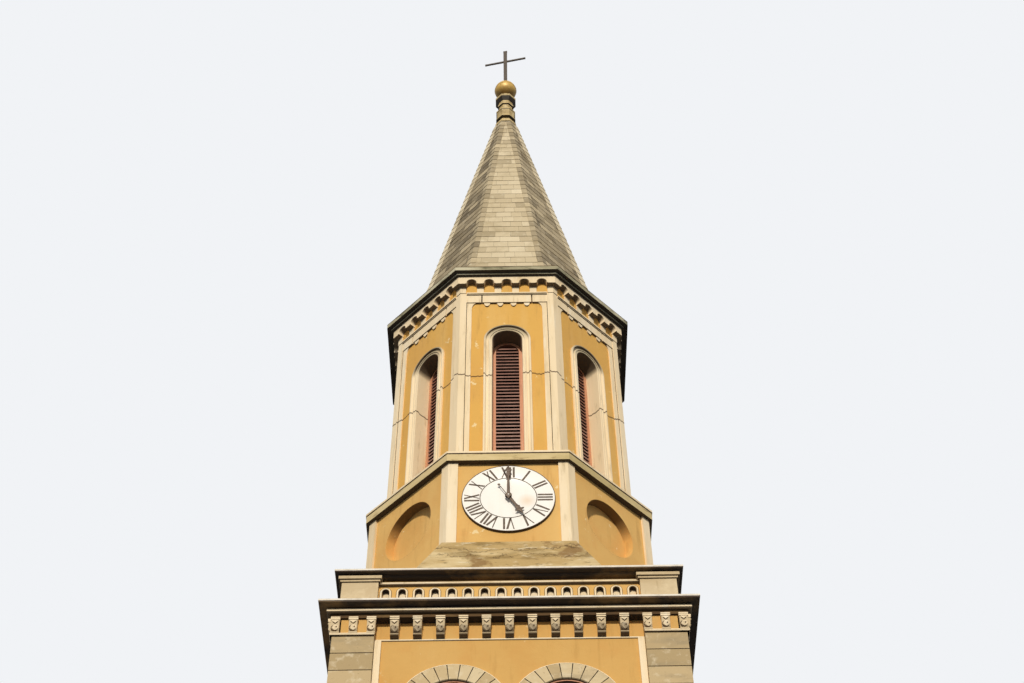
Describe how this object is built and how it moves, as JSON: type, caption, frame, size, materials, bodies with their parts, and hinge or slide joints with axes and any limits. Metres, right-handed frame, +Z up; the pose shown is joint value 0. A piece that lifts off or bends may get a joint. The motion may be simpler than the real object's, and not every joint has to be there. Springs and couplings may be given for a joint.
{
  "type": "church clock tower",
  "caption": "Plastered church clock tower, ground to cross: square shaft with arched windows, octagonal clock stage and louvred belfry, slated spire, turning clock hands.",
  "frame": {"origin": "on the ground at the middle of the tower's foot", "axes": "+Z up; the front with the door looks along -Y; +X to the right seen from the front"},
  "size_m": [5.58, 5.58, 39.573],
  "materials": {
    "yellow_plaster": "lime plaster painted ochre yellow, weathered",
    "cream_render": "pale cream render, stained",
    "grey_stone": "dressed grey-beige stone",
    "rough_stone": "bare rough stone where the render has gone",
    "sheet_metal": "stone slab with a dark sheet-metal edge",
    "weathered_eaves": "grey-green weathered render",
    "slate": "beige-grey slates",
    "floor_slab": "plain slab",
    "pink_wood": "faded salmon-pink paint",
    "brown_wood": "dark red-brown paint",
    "door_wood": "oiled brown boards",
    "window_glass": "clear, a little dusty",
    "dial_enamel": "white enamel with dark numerals",
    "hand_metal": "dull brown paint",
    "neck_sheet": "weathered sheet metal",
    "gilding": "worn gilding",
    "dark_iron": "dark forged iron"
  },
  "bodies": {
    "root": {"front_wall": "yellow_plaster", "back_wall": "yellow_plaster", "left_wall": "yellow_plaster", "right_wall": "yellow_plaster", "attic_walls": "yellow_plaster", "clock_stage_walls": "yellow_plaster", "belfry_walls": "yellow_plaster", "frieze_mouldings": "cream_render", "attic_piers": "cream_render", "clock_stage_strips": "cream_render", "belfry_ledge": "cream_render", "belfry_pilasters": "cream_render", "architraves": "cream_render", "belfry_bands": "cream_render", "corbel_table": "cream_render", "cornice_bed": "cream_render", "cornice_brackets": "cream_render", "string_courses": "cream_render", "plinth": "grey_stone", "corner_quoins": "grey_stone", "window_surrounds": "grey_stone", "window_sills": "grey_stone", "portal": "grey_stone", "stone_aprons": "rough_stone", "main_cornice": "sheet_metal", "attic_cornice": "sheet_metal", "eaves_cornice": "weathered_eaves", "spire": "slate", "floors": "floor_slab", "louvre_frames": "pink_wood", "louvre_slats": "brown_wood", "window_frames": "brown_wood", "entrance_doors": "door_wood", "window_glass": "window_glass", "clock_dial": "dial_enamel", "finial_neck": "neck_sheet", "finial_ball": "gilding", "finial_cross": "dark_iron"},
    "minute_hand": {"minute_hand": "hand_metal"},
    "hour_hand": {"hour_hand": "hand_metal"}
  },
  "joints": [
    {"name": "minute_turn", "type": "hinge", "parent": "root", "child": "minute_hand", "pos_m": [0, -2.438, 19.99], "axis": [0, 1, 0], "continuous": true},
    {"name": "hour_turn", "type": "hinge", "parent": "root", "child": "hour_hand", "pos_m": [0, -2.41, 19.99], "axis": [0, 1, 0], "continuous": true}
  ],
  "couplings": [
    {"joint": "hour_turn", "follows": "minute_turn", "ratio": 0.083333}
  ]
}
